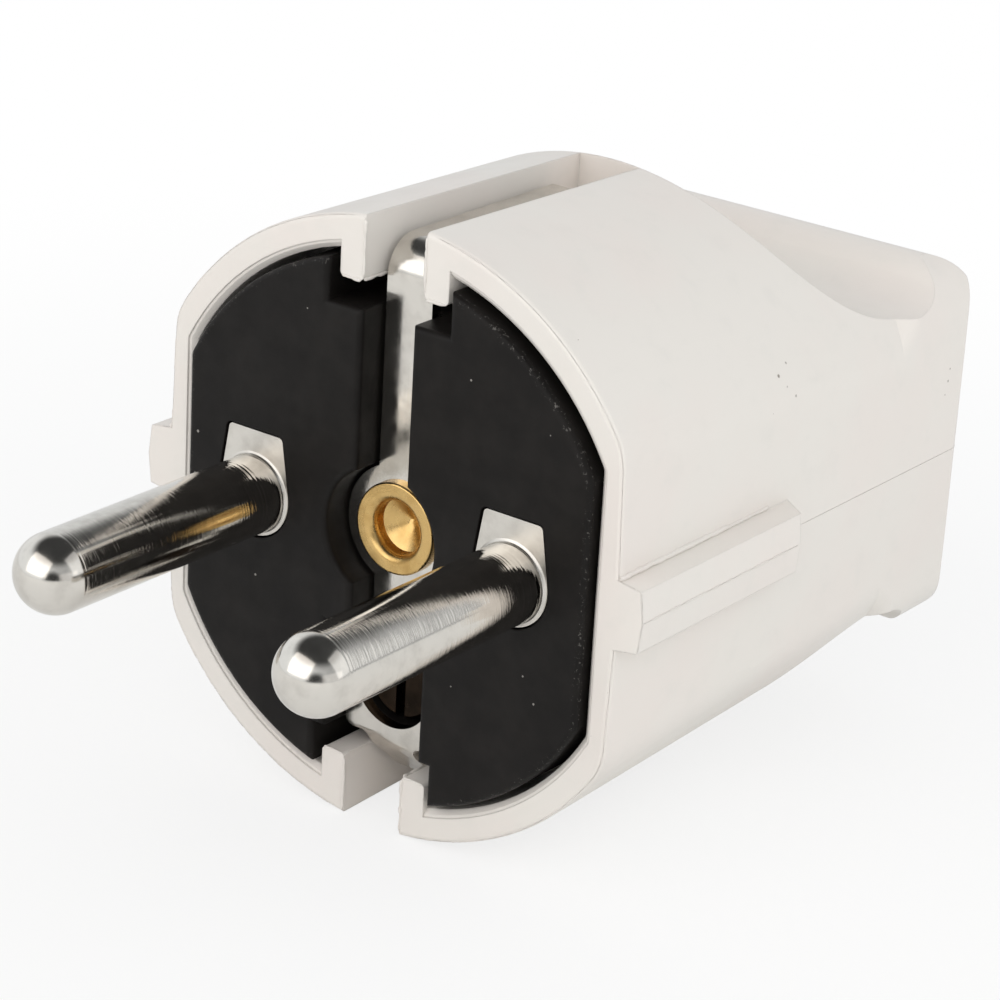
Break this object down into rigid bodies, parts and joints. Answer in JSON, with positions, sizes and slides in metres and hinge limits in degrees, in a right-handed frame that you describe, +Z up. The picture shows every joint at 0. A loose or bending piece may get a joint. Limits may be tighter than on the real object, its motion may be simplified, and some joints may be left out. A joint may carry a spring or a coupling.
{
  "type": "grounded mains plug",
  "caption": "Rewireable earthed mains plug: round contact pins on a dark insert, a bent earth strap with contacts in side slots, and a pale moulded shell with a scooped waist and cord inlet.",
  "frame": {"origin": "centre of the engagement face, midway between the two pins", "axes": "-Y along the pins, out of the engagement face; +X to the right pin as seen from the front; +Z up, towards the upper earth contact"},
  "size_m": [0.0366, 0.0572, 0.0376],
  "materials": {
    "shell_plastic": "satin warm white moulding",
    "insert_plastic": "matt black moulding",
    "pin_nickel": "nickel plate over fine turning marks",
    "strap_nickel": "bright nickel-plated strip",
    "brass": "turned brass",
    "screw_steel": "zinc-plated steel",
    "clamp_plastic": "matt black moulding"
  },
  "bodies": {
    "root": {"shell": "shell_plastic", "insert": "insert_plastic", "left_pin": "pin_nickel", "right_pin": "pin_nickel", "earth_strap": "strap_nickel", "earth_post": "brass", "threaded_bush": "brass", "fixing_screw": "screw_steel", "left_terminal_screw": "screw_steel", "right_terminal_screw": "screw_steel", "earth_terminal_screw": "screw_steel", "left_clamp_screw": "screw_steel", "right_clamp_screw": "screw_steel", "cord_clamp": "clamp_plastic"}
  },
  "joints": []
}
